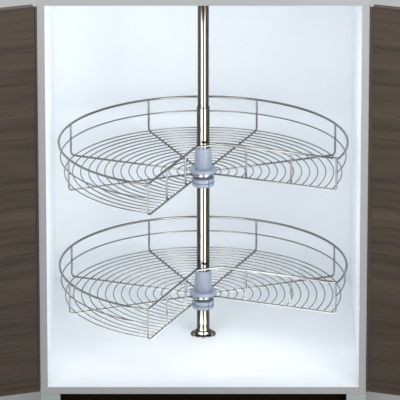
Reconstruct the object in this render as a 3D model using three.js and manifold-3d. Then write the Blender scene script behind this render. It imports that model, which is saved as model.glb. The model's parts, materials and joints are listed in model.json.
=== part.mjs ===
// Corner carousel cabinet: an open-fronted carcass on block feet with two doors and two wire
// trays that turn on a telescopic pole. Each tray is a three-quarter circle, open on a quadrant.
// Millimetres, +Z up. The front faces -Y. The pole's axis is x = 0, y = 0, and the floor is z = 0.
import * as THREE from "three";
import { mergeVertices } from "three/addons/utils/BufferGeometryUtils.js";
import Module from "manifold-3d";

const wasm = await Module();
wasm.setup();

// ---- Driving dimensions -------------------------------------------------------------------

const GAP = 0.3; // joint between two pieces that touch
const WELD = 0.4; // how far one welded wire sinks into the other

// Wire trays
const TRAY_RADIUS = 360; // centreline of the rim wire
const RIM_WIRE = 6;
const RIB_WIRE = 5;
const MID_WIRE = 3.5;
const ARC_WIRE = 3;
const RIM_HEIGHT = 82; // centre of the rim above the centre of the floor ribs
const MID_HEIGHT = 45; // centre of the middle ring above the floor ribs
const SECTORS = 6; // 45 degree sectors between ribs, so a quadrant stays open
const FIRST_ARC = 45; // radius of the innermost floor wire
const OUTER_ARC_INSET = 14; // outermost floor wire inside the rim
const ARC_COUNT = 16;
const RIB_BEND = 10; // inner corner where a rib turns up to the rim
const CORNER_BEND = 8; // bend of the rim into the rails of the open quadrant
const RIM_TAIL = 4; // straight end of the rim past that bend, where the rail is welded on
const APEX_RADIUS = 52; // where the two rails leave their ribs to pass in front of the hub
const APEX_BEND = 9;
const TRAY_TURN = 22.7; // degrees that the trays are turned to the right

// Hubs and collars
const HUB_CLEARANCE = 0.6; // a turning hub round the pole
const COLLAR_CLEARANCE = 0.3; // a clamped collar round the pole
const HUB_HEIGHT = 55; // tapered sleeve above its flange
const HUB_TOP_RADIUS = 19.8;
const HUB_FOOT_RADIUS = 23;
const HUB_FLANGE_RADIUS = 34.5;
const HUB_FLANGE = 9;
const HUB_LIP = 1; // small bead round the sleeve's mouth
const HUB_RING_RADIUS = 30;
const HUB_RING = 6;
const HUB_RING_BORE = 17.5;
const BEARING_RADIUS = 24;
const BEARING = 8.5;
const COLLAR_RADIUS = 27.7;
const COLLAR = 21;
const COLLAR_GROOVE = 1;
const CLAMP_SCREW = 5; // shank diameter
const CLAMP_HEAD = 8;
const CLAMP_HEAD_DEPTH = 4;

// Pole
const POLE_RADIUS = 16; // lower, outer tube
const POLE_WALL = 1.5;
const EXTENSION_RADIUS = 14; // upper, inner tube
const POLE_ABOVE_TRAY = 173; // lower tube above the upper tray's floor
const POLE_OVERLAP = 120; // length of the upper tube inside the lower one
const LOCK_DEPTH = 16; // lock screw below the lower tube's end
const POLE_FLANGE_RADIUS = 32;
const POLE_FLANGE = 2.5;
const POLE_SOCKET = 12; // height of the socket round the tube's end
const POLE_SOCKET_WALL = 3.5;
const POLE_SOCKET_CHAMFER = 1;
const FLANGE_SCREWS = 3;
const FLANGE_SCREW_CIRCLE = 26;
const FLANGE_SCREW = 3.5; // shank diameter
const FLANGE_SCREW_HEAD = 7;
const FLANGE_SCREW_CROWN = 5; // flat top of its domed head
const FLANGE_SCREW_HEAD_DEPTH = 1.8;
const FLANGE_SCREW_BITE = 12; // length in the board
const PILOT_SPARE = 1; // pilot hole past the screw's tip

// Heights above the cabinet's inner floor
const LOWER_TRAY = 105;
const TRAY_SPACING = 325;
const ABOVE_TRAYS = 550; // upper tray's floor to the underside of the top

// Carcass
const BOARD = 18;
const BACK_BOARD = 8;
const SIDE_CLEARANCE = 19; // turning trays to the side panels
const FRONT_CLEARANCE = 11; // turning trays to the front edge
const BACK_CLEARANCE = 55; // turning trays to the back board
const EDGE_BAND = 1;
const FOOT_HEIGHT = 100;
const FOOT_WIDTH = 48;
const FOOT_DEPTH = 80;
const PLINTH_BOARD = 16;
const PLINTH_SETBACK = 40;
const PLINTH_FLOOR_GAP = 3;
const CLIP_SHEET = 1.5;
const CLIP_LEG = 18;
const CLIP_HEIGHT = 30;

// Doors and their hinges
const DOOR_GAP = 3; // door face to front edge, with the pin half way
const DOOR_MEETING_GAP = 3; // between the two closed doors
const DOOR_BELOW_FLOOR = 12; // how far a door covers the bottom panel's edge
const DOOR_TOP_GAP = 1; // below the underside of the top panel
const DOOR_OPEN = 160; // degrees, as drawn
const PIN_OFFSET = 3; // pin outside the side panel's outer face
const KNUCKLE_RADIUS = 2.5;
const KNUCKLE_BORE = 1.3;
const PIN_RADIUS = 1;
const PIN_HEAD = 1.5;
const KNUCKLES = 5;
const KNUCKLE_GAP = 0.6;
const LEAF = 1.2;
const LEAF_WIDTH = 16;
const LEAF_TAB = 1; // how far a knuckle's tab runs into its leaf
const HINGE_INSET = 3; // hinge ends from the door's ends
const KNOB_RADIUS = 14;
const KNOB_STEM = 6;
const KNOB_DEPTH = 26;
const KNOB_CAP = 13; // thickness of the cap with its tapered back
const KNOB_TAPER = 5;
const KNOB_ROUNDING = 3;
const KNOB_INSET = 40;
const KNOB_DROP = 240; // below the door's top
const BUMPER_RADIUS = 4;
const BUMPER_DROP = 1; // bumper's edge below the inner floor

// Sides of the round pieces
const ROUND = 20;
const SMALL_ROUND = 12;
const WIRE_SIDES = 6;
const ARC_SIDES = 4;
const RIM_STEPS = 4; // straight steps of the rim in one sector
const BEND_STEPS = 3; // straight steps round a tight bend
const ARC_SAG = 3; // most that a straight step may leave its floor arc

// ---- Derived places -----------------------------------------------------------------------

const TRAY_REACH = TRAY_RADIUS + RIM_WIRE / 2;
const SIDE_X = TRAY_REACH + SIDE_CLEARANCE; // inner face of a side panel
const OUTER_X = SIDE_X + BOARD;
const FRONT_Y = -(TRAY_REACH + FRONT_CLEARANCE);
const BACK_Y = TRAY_REACH + BACK_CLEARANCE; // inner face of the back board
const REAR_Y = BACK_Y + GAP + BACK_BOARD;
const FLOOR_Z = FOOT_HEIGHT + GAP + BOARD; // inner floor
const LOWER_TRAY_Z = FLOOR_Z + LOWER_TRAY;
const UPPER_TRAY_Z = LOWER_TRAY_Z + TRAY_SPACING;
const CEILING_Z = UPPER_TRAY_Z + ABOVE_TRAYS;
const TOP_Z = CEILING_Z + BOARD;
const POLE_TOP_Z = UPPER_TRAY_Z + POLE_ABOVE_TRAY;

const SECTOR = Math.PI / 4;
const CUT_EDGE = (SECTORS / 2) * SECTOR; // angle of each cut edge from the back
const CORNER_RADIUS = TRAY_RADIUS - CORNER_BEND / 2; // uprights under the bent corners

// ---- Materials ----------------------------------------------------------------------------

const finish = (color, roughness, metalness) => () =>
  new THREE.MeshStandardMaterial({ color, roughness, metalness });
const whiteBoard = finish(0xeef3f8, 0.45, 0);
const greyEdge = finish(0xabb0b2, 0.5, 0);
const darkWood = finish(0x4c423b, 0.6, 0);
const darkBoard = finish(0x1d140b, 0.7, 0);
const greyPlastic = finish(0xa8b2ad, 0.55, 0);
const hubPlastic = finish(0xb7c3df, 0.4, 0);
const bearingPlastic = finish(0x55585c, 0.5, 0);
const chrome = finish(0xc8cacc, 0.18, 1);
const nickel = finish(0xb5a98c, 0.16, 1);
const steel = finish(0x8f9294, 0.35, 1);
const darkSteel = finish(0x2b2724, 0.4, 1);
const rubber = finish(0x3a3a3a, 0.9, 0);

// ---- Building helpers ---------------------------------------------------------------------

const PARTS = new THREE.Group();

function piece(parent, name, geometry, material) {
  const mesh = new THREE.Mesh(geometry, material());
  mesh.name = name;
  parent.add(mesh);
  return mesh;
}

function group(parent, x, y, z, turn = 0) {
  const made = new THREE.Group();
  made.position.set(x, y, z);
  made.rotation.z = turn;
  parent.add(made);
  return made;
}

function toSolid(geometry) {
  const bare = geometry.index ? geometry.toNonIndexed() : geometry.clone();
  bare.deleteAttribute("normal");
  bare.deleteAttribute("uv");
  const merged = mergeVertices(bare, 1e-4);
  return new wasm.Manifold(
    new wasm.Mesh({
      numProp: 3,
      vertProperties: merged.attributes.position.array,
      triVerts: new Uint32Array(merged.index.array),
    }),
  );
}

function toGeometry(solid) {
  const mesh = solid.getMesh();
  const geometry = new THREE.BufferGeometry();
  const positions = new THREE.BufferAttribute(mesh.vertProperties, 3);
  geometry.setAttribute("position", positions);
  geometry.setIndex(new THREE.BufferAttribute(mesh.triVerts, 1));
  geometry.computeVertexNormals();
  return geometry;
}

function join(geometries) {
  const solids = geometries.map(toSolid);
  return toGeometry(solids.reduce((whole, next) => whole.add(next)));
}

function cut(geometry, tools) {
  const whole = toSolid(geometry);
  return toGeometry(tools.map(toSolid).reduce((left, tool) => left.subtract(tool), whole));
}

function box(x0, x1, y0, y1, z0, z1) {
  const made = new THREE.BoxGeometry(x1 - x0, y1 - y0, z1 - z0);
  return made.translate((x0 + x1) / 2, (y0 + y1) / 2, (z0 + z1) / 2);
}

// A turned piece about the z axis. The profile is [radius, z] pairs that run anticlockwise.
// A profile that starts on the axis ends on it, and any other closes on itself.
function turned(profile, sides = ROUND) {
  const points = profile.map(([r, z]) => new THREE.Vector2(r, z));
  if (points[0].x > 0) points.push(points[0].clone());
  return new THREE.LatheGeometry(points, sides).rotateX(Math.PI / 2);
}

const tube = (inner, outer, z0, z1, sides) =>
  turned([[inner, z0], [outer, z0], [outer, z1], [inner, z1]], sides);

const rod = (radius, z0, z1, sides = SMALL_ROUND) =>
  turned([[0, z0], [radius, z0], [radius, z1], [0, z1]], sides);

// A polygon with as much area as the round wire, with a flat at its top and bottom.
const sectionRadius = (wire, sides) =>
  (wire / 2) * Math.sqrt((2 * Math.PI) / (sides * Math.sin((2 * Math.PI) / sides)));
const sectionFlat = (wire, sides) => sectionRadius(wire, sides) * Math.cos(Math.PI / sides);

function section(wire, sides) {
  const radius = sectionRadius(wire, sides);
  const corner = (i) => (2 * i + 1) * (Math.PI / sides);
  const corners = Array.from({ length: sides }, (_, i) =>
    new THREE.Vector2(radius * Math.cos(corner(i)), radius * Math.sin(corner(i))),
  );
  return new THREE.Shape(corners);
}

// A bent wire's centreline: straight runs between its points, mitred where they meet.
class WirePath extends THREE.Curve {
  constructor(points) {
    super();
    this.points = points;
  }
  getPointAt(u) {
    return this.points[Math.round(u * (this.points.length - 1))].clone();
  }
  getTangentAt(u) {
    const last = this.points.length - 1;
    const i = Math.round(u * last);
    const before = this.points[i].clone().sub(this.points[Math.max(i - 1, 0)]);
    const after = this.points[Math.min(i + 1, last)].clone().sub(this.points[i]);
    return before.normalize().add(after.normalize()).normalize();
  }
}

function wire(points, diameter, sides = WIRE_SIDES) {
  const extrudePath = new WirePath(points);
  const options = { extrudePath, steps: points.length - 1, bevelEnabled: false };
  return new THREE.ExtrudeGeometry(section(diameter, sides), options);
}

// A point at a radius, an angle from the back that grows to the right, and a height.
const around = (radius, angle, z) =>
  new THREE.Vector3(radius * Math.sin(angle), radius * Math.cos(angle), z);

// Points of the bend of a given radius that rounds the corner between two straight runs.
function bend(before, corner, after, radius, steps = BEND_STEPS) {
  const back = before.clone().sub(corner).normalize();
  const on = after.clone().sub(corner).normalize();
  const half = back.angleTo(on) / 2;
  const centre = back.clone().add(on).setLength(radius / Math.sin(half)).add(corner);
  const start = back.multiplyScalar(radius / Math.tan(half)).add(corner).sub(centre);
  const end = on.multiplyScalar(radius / Math.tan(half)).add(corner).sub(centre);
  const axis = start.clone().cross(end).normalize();
  const turn = start.angleTo(end);
  return Array.from({ length: steps + 1 }, (_, i) =>
    start.clone().applyAxisAngle(axis, (turn * i) / steps).add(centre),
  );
}

const steps = (from, to, count) =>
  Array.from({ length: count + 1 }, (_, i) => from + ((to - from) * i) / count);

// Angles from -end to +end with a point at every rib between them.
function sectorAngles(end, perSector) {
  const ribs = steps(-CUT_EDGE, CUT_EDGE, SECTORS).slice(1, -1);
  const stops = [-end, ...ribs, end];
  const runs = stops.slice(1).map((to, i) => steps(stops[i], to, perSector).slice(1));
  return [-end, ...runs.flat()];
}

// A piece built along +z, laid along +y at a height.
const sideways = (geometry, z) => geometry.rotateX(-Math.PI / 2).translate(0, 0, z);

// ---- Wire trays ---------------------------------------------------------------------------

const RIB_TOP = RIM_HEIGHT - sectionFlat(RIM_WIRE, WIRE_SIDES) - GAP;
const RIB_START = HUB_RING_RADIUS + GAP;
const LAST_ARC = TRAY_RADIUS - OUTER_ARC_INSET;
const ARC_PITCH = (LAST_ARC - FIRST_ARC) / (ARC_COUNT - 1);
const ARC_Z = sectionFlat(RIB_WIRE, WIRE_SIDES) + sectionFlat(ARC_WIRE, ARC_SIDES) - WELD;

// One rib: along the floor from the hub, round a bend and up to the rim.
function rib(angle, radius) {
  const start = around(RIB_START, angle, 0);
  const corner = around(radius, angle, 0);
  const top = around(radius, angle, RIB_TOP);
  return wire([start, ...bend(start, corner, top, RIB_BEND), top], RIB_WIRE);
}

function floorArc(radius) {
  const perSector = Math.ceil(SECTOR / (2 * Math.acos(1 - ARC_SAG / radius)));
  const end = CUT_EDGE + ARC_WIRE / 4 / radius;
  const points = sectorAngles(end, perSector).map((angle) => around(radius, angle, ARC_Z));
  return wire(points, ARC_WIRE, ARC_SIDES);
}

function trayFloor() {
  const angles = steps(-CUT_EDGE, CUT_EDGE, SECTORS);
  const atCut = (angle) => Math.abs(angle) > CUT_EDGE - SECTOR / 2;
  const ribs = angles.map((angle) => rib(angle, atCut(angle) ? CORNER_RADIUS : TRAY_RADIUS));
  const arcs = steps(FIRST_ARC, LAST_ARC, ARC_COUNT - 1).map(floorArc);
  return join([...ribs, ...arcs]);
}

// The bend that takes the rim round to the rail over a cut edge. The side is -1 or 1.
const CORNER_CENTRE = TRAY_RADIUS - CORNER_BEND;
const CORNER_ANGLE = Math.asin(CORNER_BEND / CORNER_CENTRE);
const RIM_END = Math.sqrt(CORNER_CENTRE ** 2 - CORNER_BEND ** 2) - RIM_TAIL;

function cornerPoints(side) {
  const centre = around(CORNER_CENTRE, side * (CUT_EDGE - CORNER_ANGLE), RIM_HEIGHT);
  const first = around(CORNER_BEND, side * (CUT_EDGE - CORNER_ANGLE), 0);
  const turn = -side * (Math.PI / 2 + CORNER_ANGLE);
  const up = new THREE.Vector3(0, 0, 1);
  const bent = (angle) => first.clone().applyAxisAngle(up, angle).add(centre);
  const round = steps(0, turn, BEND_STEPS).map(bent);
  return [...round, around(RIM_END, side * CUT_EDGE, RIM_HEIGHT)];
}

function trayRim() {
  const angles = sectorAngles(CUT_EDGE - CORNER_ANGLE, RIM_STEPS).slice(1, -1);
  const ring = angles.map((angle) => around(TRAY_RADIUS, angle, RIM_HEIGHT));
  return wire([...cornerPoints(-1).reverse(), ...ring, ...cornerPoints(1)], RIM_WIRE);
}

function trayMidRing() {
  const reach = sectionRadius(RIB_WIRE, WIRE_SIDES) + GAP;
  const radius = TRAY_RADIUS - reach - sectionFlat(MID_WIRE, WIRE_SIDES);
  const angles = sectorAngles(CUT_EDGE - Math.asin(reach / radius), RIM_STEPS);
  return wire(angles.map((angle) => around(radius, angle, MID_HEIGHT)), MID_WIRE);
}

// The rail over both cut edges, bent round in front of the hub, with its uprights. Each upright
// stands on a cut edge's rib between two floor arcs.
function trayFrontRail() {
  const left = around(RIM_END - GAP, -CUT_EDGE, RIM_HEIGHT);
  const right = around(RIM_END - GAP, CUT_EDGE, RIM_HEIGHT);
  const leftApex = around(APEX_RADIUS, -CUT_EDGE, RIM_HEIGHT);
  const rightApex = around(APEX_RADIUS, CUT_EDGE, RIM_HEIGHT);
  const leftBend = bend(left, leftApex, rightApex, APEX_BEND);
  const rightBend = bend(leftApex, rightApex, right, APEX_BEND);
  const rail = wire([left, ...leftBend, ...rightBend, right], RIM_WIRE);
  const uprights = [1, 2].flatMap((third) => {
    const arcsInside = Math.floor(((TRAY_RADIUS * third) / 3 - FIRST_ARC) / ARC_PITCH);
    const radius = FIRST_ARC + (arcsInside + 0.5) * ARC_PITCH;
    const foot = sectionFlat(RIB_WIRE, WIRE_SIDES) + GAP;
    return [-1, 1].map((side) => {
      const angle = side * CUT_EDGE;
      return wire([around(radius, angle, foot), around(radius, angle, RIM_HEIGHT)], RIB_WIRE);
    });
  });
  return join([rail, ...uprights]);
}

const HUB_FOOT_Z = HUB_RING / 2 + GAP;

function hub() {
  const bore = POLE_RADIUS + HUB_CLEARANCE;
  const flangeTop = HUB_FOOT_Z + HUB_FLANGE;
  const top = flangeTop + HUB_HEIGHT;
  return turned([
    [bore, HUB_FOOT_Z],
    [HUB_FLANGE_RADIUS, HUB_FOOT_Z],
    [HUB_FLANGE_RADIUS, flangeTop - HUB_LIP],
    [HUB_FLANGE_RADIUS - HUB_LIP, flangeTop],
    [HUB_FOOT_RADIUS + HUB_LIP, flangeTop],
    [HUB_FOOT_RADIUS, flangeTop + HUB_LIP],
    [HUB_TOP_RADIUS, top - 2 * HUB_LIP],
    [HUB_TOP_RADIUS + HUB_LIP, top - HUB_LIP],
    [HUB_TOP_RADIUS + HUB_LIP, top],
    [bore, top],
  ]);
}

const hubRing = () => tube(HUB_RING_BORE, HUB_RING_RADIUS, -HUB_RING / 2, HUB_RING / 2);

// ---- Collars that carry the trays ---------------------------------------------------------

const BEARING_TOP = -HUB_RING / 2 - GAP;
const COLLAR_TOP = BEARING_TOP - BEARING - GAP;
const COLLAR_FOOT = COLLAR_TOP - COLLAR;
const CLAMP_Z = COLLAR_FOOT + COLLAR / 4 + COLLAR_GROOVE;

const bearing = () =>
  tube(POLE_RADIUS + HUB_CLEARANCE, BEARING_RADIUS, BEARING_TOP - BEARING, BEARING_TOP);

function collar() {
  const bore = POLE_RADIUS + COLLAR_CLEARANCE;
  const middle = (COLLAR_TOP + COLLAR_FOOT) / 2;
  const body = turned([
    [bore, COLLAR_FOOT],
    [COLLAR_RADIUS, COLLAR_FOOT],
    [COLLAR_RADIUS, middle - COLLAR_GROOVE],
    [COLLAR_RADIUS - COLLAR_GROOVE, middle],
    [COLLAR_RADIUS, middle + COLLAR_GROOVE],
    [COLLAR_RADIUS, COLLAR_TOP],
    [bore, COLLAR_TOP],
  ]);
  const hole = rod(CLAMP_SCREW / 2 + GAP, 0, COLLAR_RADIUS + GAP);
  return cut(body, [sideways(hole, CLAMP_Z)]);
}

// A headed screw that presses on a tube of the given radius through a wall that ends at `outside`.
function pressScrew(tubeRadius, outside, shank, head, depth) {
  const tip = tubeRadius + GAP;
  const seat = outside + GAP;
  return turned([
    [0, tip],
    [shank / 2, tip],
    [shank / 2, seat],
    [head / 2, seat],
    [head / 2, seat + depth],
    [0, seat + depth],
  ], SMALL_ROUND);
}

function clampScrew() {
  const screw = pressScrew(POLE_RADIUS, COLLAR_RADIUS, CLAMP_SCREW, CLAMP_HEAD, CLAMP_HEAD_DEPTH);
  return sideways(screw, CLAMP_Z);
}

function addTray(name, z) {
  const tray = group(PARTS, 0, 0, z, THREE.MathUtils.degToRad(TRAY_TURN));
  piece(tray, name + "_rim", trayRim(), chrome);
  piece(tray, name + "_front_rail", trayFrontRail(), chrome);
  piece(tray, name + "_middle_ring", trayMidRing(), chrome);
  piece(tray, name + "_floor", trayFloor(), chrome);
  piece(tray, name + "_hub_ring", hubRing(), chrome);
  piece(tray, name + "_hub", hub(), hubPlastic);
  const support = group(PARTS, 0, 0, z);
  piece(support, name + "_bearing", bearing(), bearingPlastic);
  piece(support, name + "_collar", collar(), hubPlastic);
  piece(support, name + "_clamp_screw", clampScrew(), steel);
}

// ---- Pole ---------------------------------------------------------------------------------

const screwAngles = steps(0, 2 * Math.PI, FLANGE_SCREWS).slice(1);
const screwPlace = (angle) => around(FLANGE_SCREW_CIRCLE, angle, 0);

// Holes for a flange's screws, from a depth in the board whose face is z = 0 up to a height.
const screwHoles = (height) =>
  screwAngles.map((angle) =>
    rod(FLANGE_SCREW / 2 + GAP, -FLANGE_SCREW_BITE - PILOT_SPARE, height).translate(...screwPlace(angle)),
  );

// A flange that stands on z = 0 with its socket upwards, and the holes for its screws.
function poleFlange(tubeRadius) {
  const bore = tubeRadius + GAP;
  const body = turned([
    [0, 0],
    [POLE_FLANGE_RADIUS, 0],
    [POLE_FLANGE_RADIUS, POLE_FLANGE],
    [bore + POLE_SOCKET_WALL, POLE_FLANGE + GAP],
    [bore + POLE_SOCKET_WALL, POLE_SOCKET - POLE_SOCKET_CHAMFER],
    [bore + POLE_SOCKET_WALL - POLE_SOCKET_CHAMFER, POLE_SOCKET],
    [bore, POLE_SOCKET],
    [bore, POLE_FLANGE],
    [0, POLE_FLANGE],
  ]);
  return cut(body, screwHoles(POLE_SOCKET));
}

// A flange screw at its place, its head on the flange and its shank down in the board.
function flangeScrew() {
  const seat = POLE_FLANGE + 2 * GAP;
  const shank = FLANGE_SCREW / 2;
  const head = FLANGE_SCREW_HEAD / 2;
  return turned([
    [0, -FLANGE_SCREW_BITE],
    [shank, -FLANGE_SCREW_BITE],
    [shank, seat],
    [head, seat],
    [FLANGE_SCREW_CROWN / 2, seat + FLANGE_SCREW_HEAD_DEPTH],
    [0, seat + FLANGE_SCREW_HEAD_DEPTH],
  ], SMALL_ROUND);
}

function addPole() {
  const foot = group(PARTS, 0, 0, FLOOR_Z + GAP);
  piece(foot, "pole_base_flange", poleFlange(POLE_RADIUS), nickel);
  const head = group(PARTS, 0, 0, CEILING_Z - GAP);
  head.rotation.x = Math.PI;
  piece(head, "pole_top_flange", poleFlange(EXTENSION_RADIUS), nickel);
  screwAngles.forEach((angle, i) => {
    piece(foot, "base_flange_screw_" + (i + 1), flangeScrew(), steel).position.copy(screwPlace(angle));
    piece(head, "top_flange_screw_" + (i + 1), flangeScrew(), steel).position.copy(screwPlace(angle));
  });

  const tubeFoot = FLOOR_Z + POLE_FLANGE + 2 * GAP;
  const lockZ = POLE_TOP_Z - LOCK_DEPTH;
  const lockHole = sideways(rod(CLAMP_SCREW / 2 + GAP, 0, POLE_RADIUS + GAP), lockZ);
  const lower = tube(POLE_RADIUS - POLE_WALL, POLE_RADIUS, tubeFoot, POLE_TOP_Z);
  piece(PARTS, "pole_lower_tube", cut(lower, [lockHole]), nickel);
  const inner = EXTENSION_RADIUS - POLE_WALL;
  const tubeHead = CEILING_Z - POLE_FLANGE - 2 * GAP;
  const upper = tube(inner, EXTENSION_RADIUS, POLE_TOP_Z - POLE_OVERLAP, tubeHead);
  piece(PARTS, "pole_upper_tube", upper, nickel);
  const lock = pressScrew(EXTENSION_RADIUS, POLE_RADIUS, CLAMP_SCREW, CLAMP_HEAD, CLAMP_HEAD_DEPTH);
  piece(PARTS, "pole_lock_screw", sideways(lock, lockZ), steel);
}

// ---- Carcass ------------------------------------------------------------------------------

function addCarcass() {
  const boardFront = FRONT_Y + EDGE_BAND + GAP;
  const bandBack = FRONT_Y + EDGE_BAND;
  const bottomZ = FOOT_HEIGHT + GAP;
  const board = (x0, x1, z0, z1) => box(x0, x1, boardFront, BACK_Y, z0, z1);
  const band = (x0, x1, z0, z1) => box(x0, x1, FRONT_Y, bandBack, z0, z1);

  // The sides stand between the bottom and the top, which run the whole width.
  const upright = [FLOOR_Z + GAP, CEILING_Z - GAP];
  for (const [side, sign] of [["left", -1], ["right", 1]]) {
    const across = [sign * SIDE_X, sign * OUTER_X].sort((a, b) => a - b);
    piece(PARTS, "side_panel_" + side, board(...across, ...upright), whiteBoard);
    piece(PARTS, "edge_band_" + side, band(...across, ...upright), greyEdge);
  }
  const bottom = board(-OUTER_X, OUTER_X, bottomZ, FLOOR_Z);
  const floorHoles = screwHoles(BOARD).map((hole) => hole.translate(0, 0, FLOOR_Z));
  piece(PARTS, "bottom_panel", cut(bottom, floorHoles), whiteBoard);
  const top = board(-OUTER_X, OUTER_X, CEILING_Z, TOP_Z);
  const ceilingHoles = screwHoles(BOARD).map((hole) => hole.rotateX(Math.PI).translate(0, 0, CEILING_Z));
  piece(PARTS, "top_panel", cut(top, ceilingHoles), whiteBoard);
  piece(PARTS, "edge_band_bottom", band(-OUTER_X, OUTER_X, bottomZ, FLOOR_Z), greyEdge);
  piece(PARTS, "edge_band_top", band(-OUTER_X, OUTER_X, CEILING_Z, TOP_Z), greyEdge);
  piece(PARTS, "back_panel", box(-OUTER_X, OUTER_X, BACK_Y + GAP, REAR_Y, bottomZ, TOP_Z), whiteBoard);
}

function addBase() {
  const [halfWidth, halfDepth] = [FOOT_WIDTH / 2, FOOT_DEPTH / 2];
  const foot = () => box(-halfWidth, halfWidth, -halfDepth, halfDepth, 0, FOOT_HEIGHT);
  const footX = OUTER_X - halfWidth;
  const rows = [["front", FRONT_Y + halfDepth], ["rear", REAR_Y - halfDepth]];
  for (const [row, y] of rows) {
    piece(PARTS, "foot_" + row + "_left", foot(), greyPlastic).position.set(-footX, y, 0);
    piece(PARTS, "foot_" + row + "_right", foot(), greyPlastic).position.set(footX, y, 0);
  }
  piece(PARTS, "foot_centre", foot(), greyPlastic);

  const reach = OUTER_X - FOOT_WIDTH - GAP;
  const front = FRONT_Y + PLINTH_SETBACK;
  const back = front + PLINTH_BOARD;
  const plinth = box(-reach, reach, front, back, PLINTH_FLOOR_GAP, FOOT_HEIGHT - GAP);
  piece(PARTS, "plinth_board", plinth, darkBoard);

  // Angle clips hold the plinth board's ends to the inner faces of the front feet.
  const clipZ = (FOOT_HEIGHT - CLIP_HEIGHT) / 2;
  for (const [side, sign] of [["left", -1], ["right", 1]]) {
    const leaf = (from, to) => [sign * from, sign * to].sort((a, b) => a - b);
    const onBoard = leaf(reach - CLIP_LEG, reach);
    const outward = leaf(reach - CLIP_SHEET, reach);
    const clip = join([
      box(...onBoard, back + GAP, back + GAP + CLIP_SHEET, clipZ, clipZ + CLIP_HEIGHT),
      box(...outward, back + GAP, back + GAP + CLIP_LEG, clipZ, clipZ + CLIP_HEIGHT),
    ]);
    piece(PARTS, "plinth_clip_" + side, clip, steel);
  }
}

// ---- Doors --------------------------------------------------------------------------------

const DOOR_FOOT = FLOOR_Z - DOOR_BELOW_FLOOR;
const DOOR_HEAD = CEILING_Z - DOOR_TOP_GAP;
const DOOR_EDGE = PIN_OFFSET; // the door's hinged edge from the pin
const DOOR_END = OUTER_X + PIN_OFFSET - DOOR_MEETING_GAP / 2;
const DOOR_FACE = DOOR_GAP / 2; // the door's inner face from the pin
const HINGE_FOOT = DOOR_FOOT + HINGE_INSET;
const HINGE_HEAD = DOOR_HEAD - HINGE_INSET;

// A leaf along +x from its knuckles at x = 0, y = 0: its sheet lies from y = -near to y = -far.
// Knuckles with the given remainder modulo 2 belong to this leaf.
function hingeLeaf(remainder) {
  const near = PIN_OFFSET - GAP - LEAF;
  const far = PIN_OFFSET - GAP;
  const clear = KNUCKLE_RADIUS + GAP;
  const pitch = (HINGE_HEAD - HINGE_FOOT) / KNUCKLES;
  const pieces = [box(clear, clear + LEAF_WIDTH, -far, -near, HINGE_FOOT, HINGE_HEAD)];
  for (let i = remainder; i < KNUCKLES; i += 2) {
    const from = HINGE_FOOT + i * pitch + KNUCKLE_GAP / 2;
    const to = from + pitch - KNUCKLE_GAP;
    pieces.push(tube(KNUCKLE_BORE, KNUCKLE_RADIUS, from, to, SMALL_ROUND));
    pieces.push(box(0, clear + LEAF_TAB, -far, -near, from, to));
  }
  return join(pieces);
}

function hingePin() {
  const ends = [HINGE_FOOT - GAP, HINGE_HEAD + GAP];
  return turned([
    [0, ends[0] - PIN_HEAD],
    [KNUCKLE_RADIUS, ends[0] - PIN_HEAD],
    [KNUCKLE_RADIUS, ends[0]],
    [PIN_RADIUS, ends[0]],
    [PIN_RADIUS, ends[1]],
    [KNUCKLE_RADIUS, ends[1]],
    [KNUCKLE_RADIUS, ends[1] + PIN_HEAD],
    [0, ends[1] + PIN_HEAD],
  ], SMALL_ROUND);
}

function knob() {
  return turned([
    [0, 0],
    [KNOB_STEM, 0],
    [KNOB_STEM, KNOB_DEPTH - KNOB_CAP],
    [KNOB_RADIUS, KNOB_DEPTH - KNOB_CAP + KNOB_TAPER],
    [KNOB_RADIUS, KNOB_DEPTH - KNOB_ROUNDING],
    [KNOB_RADIUS - KNOB_ROUNDING, KNOB_DEPTH],
    [0, KNOB_DEPTH],
  ]);
}

// Built as a left door with its pin at x = 0, y = 0 and closed along +x. `sign` mirrors it.
function addDoor(side, sign) {
  const pinX = sign * (OUTER_X + PIN_OFFSET);
  const pinY = FRONT_Y - DOOR_GAP / 2;
  const mirrored = (geometry) => (sign < 0 ? geometry : mirror(geometry));
  const fixed = group(PARTS, pinX, pinY, 0);
  const door = group(PARTS, pinX, pinY, 0, sign * THREE.MathUtils.degToRad(DOOR_OPEN));

  const leaf = hingeLeaf(0).rotateZ(Math.PI / 2);
  piece(fixed, side + "_hinge_carcass_leaf", mirrored(leaf), darkSteel);
  piece(fixed, side + "_hinge_pin", hingePin(), darkSteel);
  const doorLeaf = hingeLeaf(1).rotateX(Math.PI).rotateZ(-Math.PI / 2);
  const middle = HINGE_FOOT + HINGE_HEAD;
  piece(door, side + "_hinge_door_leaf", mirrored(doorLeaf.translate(0, 0, middle)), darkSteel);

  const face = -DOOR_FACE;
  const panel = box(DOOR_EDGE, DOOR_END, face - BOARD, face, DOOR_FOOT, DOOR_HEAD);
  piece(door, side + "_door_panel", mirrored(panel), darkWood);
  const knobPlace = [DOOR_END - KNOB_INSET, face - BOARD - GAP, DOOR_HEAD - KNOB_DROP];
  const turnedKnob = knob().rotateX(Math.PI / 2).translate(...knobPlace);
  piece(door, side + "_door_knob", mirrored(turnedKnob), steel);
  const bumperPlace = [DOOR_END - 2 * BUMPER_RADIUS, face + GAP, FLOOR_Z - BUMPER_RADIUS - BUMPER_DROP];
  const bumper = rod(BUMPER_RADIUS, 0, DOOR_GAP - 3 * GAP).rotateX(-Math.PI / 2);
  piece(door, side + "_door_bumper", mirrored(bumper.translate(...bumperPlace)), rubber);
}

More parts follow.
